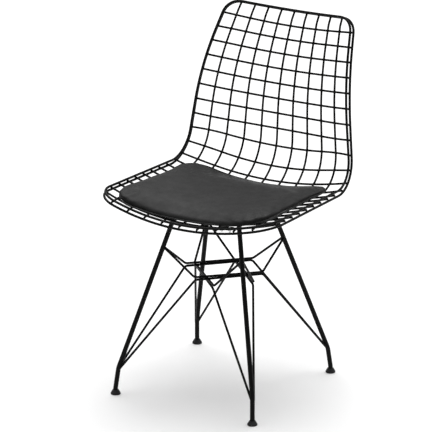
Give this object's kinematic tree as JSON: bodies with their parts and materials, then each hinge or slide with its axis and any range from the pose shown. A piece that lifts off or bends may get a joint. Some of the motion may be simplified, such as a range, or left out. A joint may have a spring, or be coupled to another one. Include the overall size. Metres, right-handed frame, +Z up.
{
  "type": "wire mesh chair",
  "caption": "Armless side chair with a double-rimmed welded wire mesh shell, a four-legged rod base braced by crossing wires, and a thin black seat cushion.",
  "frame": {"origin": "on the floor, under the middle of the chair's box (65.6 mm behind the middle of the four feet)", "axes": "+X to the right as seen from in front of the chair, -Y the way the chair faces, +Z up"},
  "size_m": [0.4626, 0.536, 0.8309],
  "materials": {
    "shell_coating": "satin",
    "base_coating": "satin",
    "cushion_leather": "satin",
    "glide_plastic": "matte",
    "fastener_steel": "satin"
  },
  "bodies": {
    "root": {"upper_rim": "shell_coating", "lower_rim": "shell_coating", "long_wire_centre": "shell_coating", "long_wire_left_1": "shell_coating", "long_wire_left_2": "shell_coating", "long_wire_left_3": "shell_coating", "long_wire_left_4": "shell_coating", "long_wire_right_1": "shell_coating", "long_wire_right_2": "shell_coating", "long_wire_right_3": "shell_coating", "long_wire_right_4": "shell_coating", "back_cross_wire_01": "shell_coating", "back_cross_wire_02": "shell_coating", "back_cross_wire_03": "shell_coating", "back_cross_wire_04": "shell_coating", "back_cross_wire_05": "shell_coating", "back_cross_wire_06": "shell_coating", "back_cross_wire_07": "shell_coating", "back_cross_wire_08": "shell_coating", "back_cross_wire_09": "shell_coating", "back_cross_wire_10": "shell_coating", "back_cross_wire_11": "shell_coating", "back_cross_wire_12": "shell_coating", "seat_cross_wire_01": "shell_coating", "seat_cross_wire_02": "shell_coating", "seat_cross_wire_03": "shell_coating", "seat_cross_wire_04": "shell_coating", "seat_cross_wire_05": "shell_coating", "seat_cross_wire_06": "shell_coating", "seat_cross_wire_07": "shell_coating", "seat_cross_wire_08": "shell_coating", "seat_cross_wire_09": "shell_coating", "left_seat_rail": "base_coating", "right_seat_rail": "base_coating", "front_cross_rod": "base_coating", "rear_cross_rod": "base_coating", "front_left_leg": "base_coating", "front_right_leg": "base_coating", "rear_left_leg": "base_coating", "rear_right_leg": "base_coating", "upper_brace_front_left_a": "base_coating", "upper_brace_front_left_b": "base_coating", "upper_brace_front_right_a": "base_coating", "upper_brace_front_right_b": "base_coating", "lower_brace_front_left_a": "base_coating", "lower_brace_front_left_b": "base_coating", "lower_brace_front_right_a": "base_coating", "lower_brace_front_right_b": "base_coating", "front_left_glide": "glide_plastic", "front_right_glide": "glide_plastic", "rear_left_glide": "glide_plastic", "rear_right_glide": "glide_plastic", "clip_plates": "base_coating", "clip_saddles": "base_coating", "clip_screws": "fastener_steel", "clip_nuts": "fastener_steel", "seat_cushion": "cushion_leather"}
  },
  "joints": []
}
